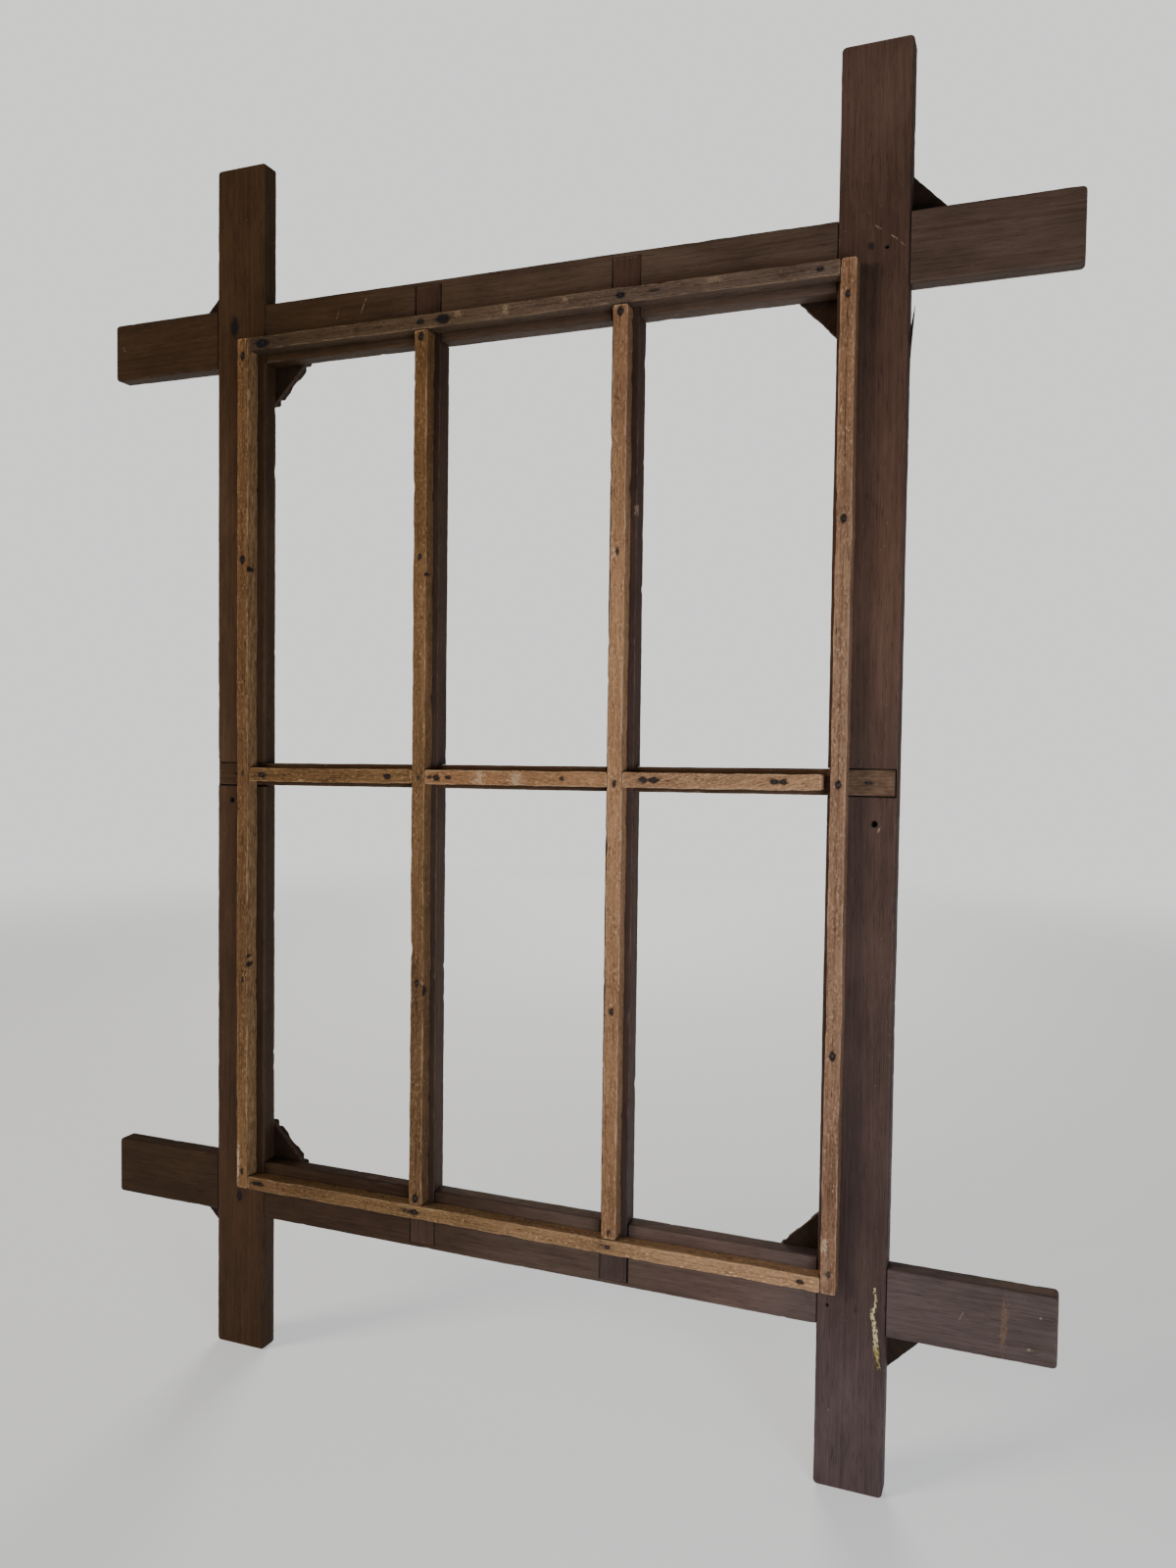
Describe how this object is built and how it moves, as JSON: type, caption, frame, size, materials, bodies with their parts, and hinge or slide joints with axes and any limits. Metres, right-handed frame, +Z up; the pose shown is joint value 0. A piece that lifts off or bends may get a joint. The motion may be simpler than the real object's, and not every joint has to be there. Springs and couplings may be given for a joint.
{
  "type": "criss-cross picture frame",
  "caption": "Wooden crossed-corner frame with glazing bars, nailed stop strips round each opening, overlapping arm ends and notched boards across the front of the corners.",
  "frame": {"origin": "on the floor midway between the two stile ends, at the middle of the depth", "axes": "+Z up along the stiles, +X along the rails to the right as seen from the back, +Y from the back with the strips to the front with the corner boards"},
  "size_m": [0.6215, 0.0284, 0.788],
  "materials": {
    "dark_wood": "dark brown stained hardwood, worn satin",
    "strip_wood": "honey brown hardwood, unvarnished and grimy",
    "board_wood": "dark stained thin board, satin",
    "iron": "dark oxidised wire brads"
  },
  "bodies": {
    "root": {"left_stile": "dark_wood", "right_stile": "dark_wood", "top_rail": "dark_wood", "bottom_rail": "dark_wood", "left_muntin": "dark_wood", "right_muntin": "dark_wood", "cross_bar": "dark_wood", "left_stop": "strip_wood", "right_stop": "strip_wood", "top_stop": "strip_wood", "bottom_stop": "strip_wood", "left_muntin_stop": "strip_wood", "right_muntin_stop": "strip_wood", "left_cross_stop": "strip_wood", "middle_cross_stop": "strip_wood", "right_cross_stop": "strip_wood", "top_left_plate_base": "board_wood", "top_right_plate_base": "board_wood", "bottom_left_plate_base": "board_wood", "bottom_right_plate_base": "board_wood", "top_left_plate_face": "board_wood", "top_right_plate_face": "board_wood", "bottom_left_plate_face": "board_wood", "bottom_right_plate_face": "board_wood", "rim_stop_nails": "iron", "bar_stop_nails": "iron", "lap_nails": "iron", "plate_nails": "iron"}
  },
  "joints": []
}
